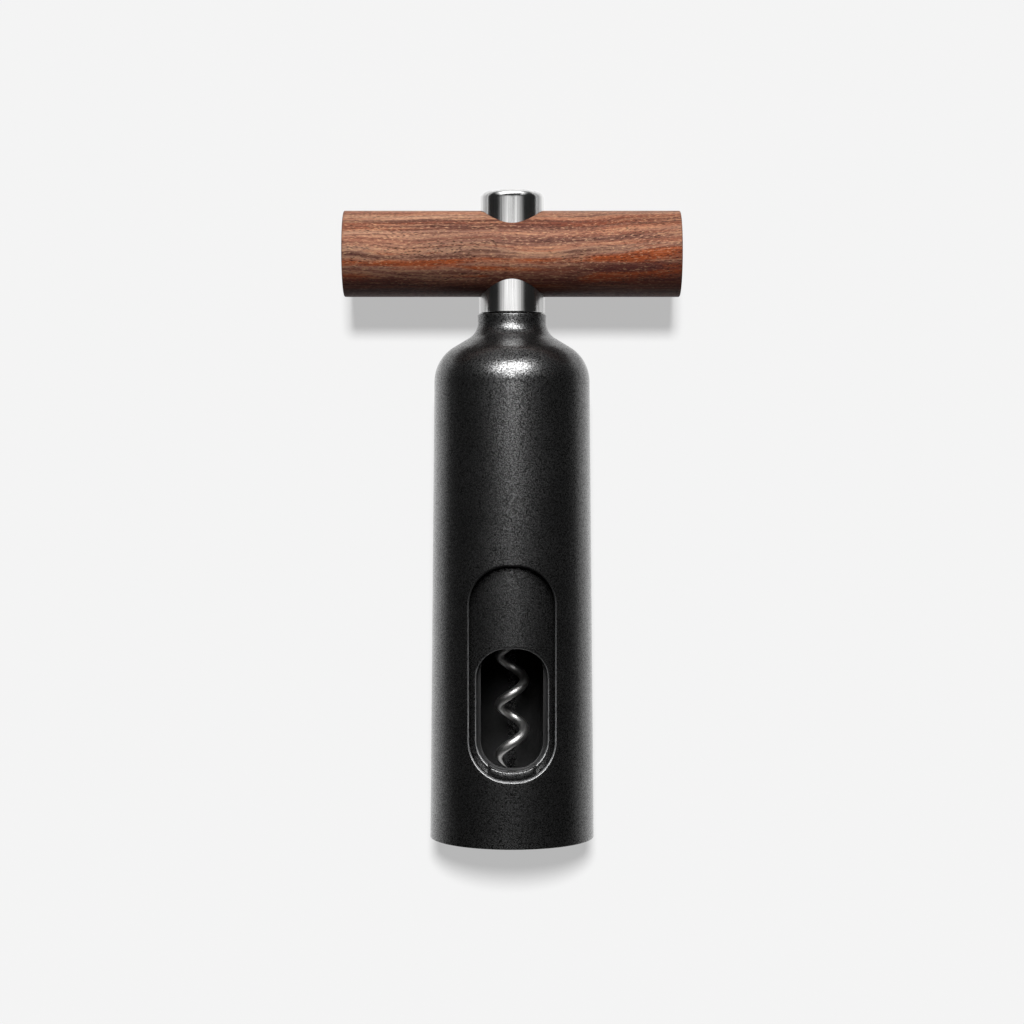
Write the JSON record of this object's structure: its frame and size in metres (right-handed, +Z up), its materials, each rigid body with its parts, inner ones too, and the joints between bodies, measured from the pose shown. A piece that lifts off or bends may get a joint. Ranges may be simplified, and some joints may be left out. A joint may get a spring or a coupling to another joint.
{
  "type": "self-pulling twist corkscrew",
  "caption": "Self-pulling twist corkscrew: bottle-shaped black body with a window onto the worm, turned by a wooden T-handle with steel hub.",
  "frame": {"origin": "centre of the base rim, on the surface the corkscrew stands on", "axes": "+Z up along the worm's axis towards the handle, +X along the handle at rest, the window faces -Y"},
  "size_m": [0.094, 0.046, 0.181],
  "materials": {
    "shell_plastic": "fine spark-eroded texture",
    "sleeve_plastic": "fine spark-eroded texture",
    "liner_rubber": "matt",
    "bush_brass": "turned",
    "washer_nylon": "natural nylon",
    "handle_wood": "oiled, fine pores along the grain",
    "hub_steel": "fine vertical grain",
    "spindle_steel": "ground",
    "worm_steel": "polished wire",
    "fastener_steel": "plain"
  },
  "bodies": {
    "body": {"body_shell": "shell_plastic", "inner_sleeve": "sleeve_plastic", "guide_liner": "liner_rubber", "lip_seat_ring": "liner_rubber", "neck_bush": "bush_brass"},
    "thrust_slider": {"thrust_washer": "washer_nylon"},
    "handle": {"handle_bar": "handle_wood", "hub_collar": "hub_steel", "hub_cap": "hub_steel", "cap_ring": "liner_rubber", "drive_pins": "fastener_steel", "clamp_nut": "fastener_steel", "lock_washer": "fastener_steel", "nut_washer": "fastener_steel", "spindle": "spindle_steel", "stop_washer": "washer_nylon", "retaining_ring": "fastener_steel", "worm": "worm_steel", "worm_grub_screw": "fastener_steel"}
  },
  "joints": [
    {"name": "spindle_lift", "type": "slide", "parent": "body", "child": "thrust_slider", "axis": [0, 0, 1], "range_m": [0, 0.03]},
    {"name": "handle_turn", "type": "hinge", "parent": "thrust_slider", "child": "handle", "pos_m": [0, 0, 0.147], "axis": [0, 0, 1], "continuous": true}
  ]
}
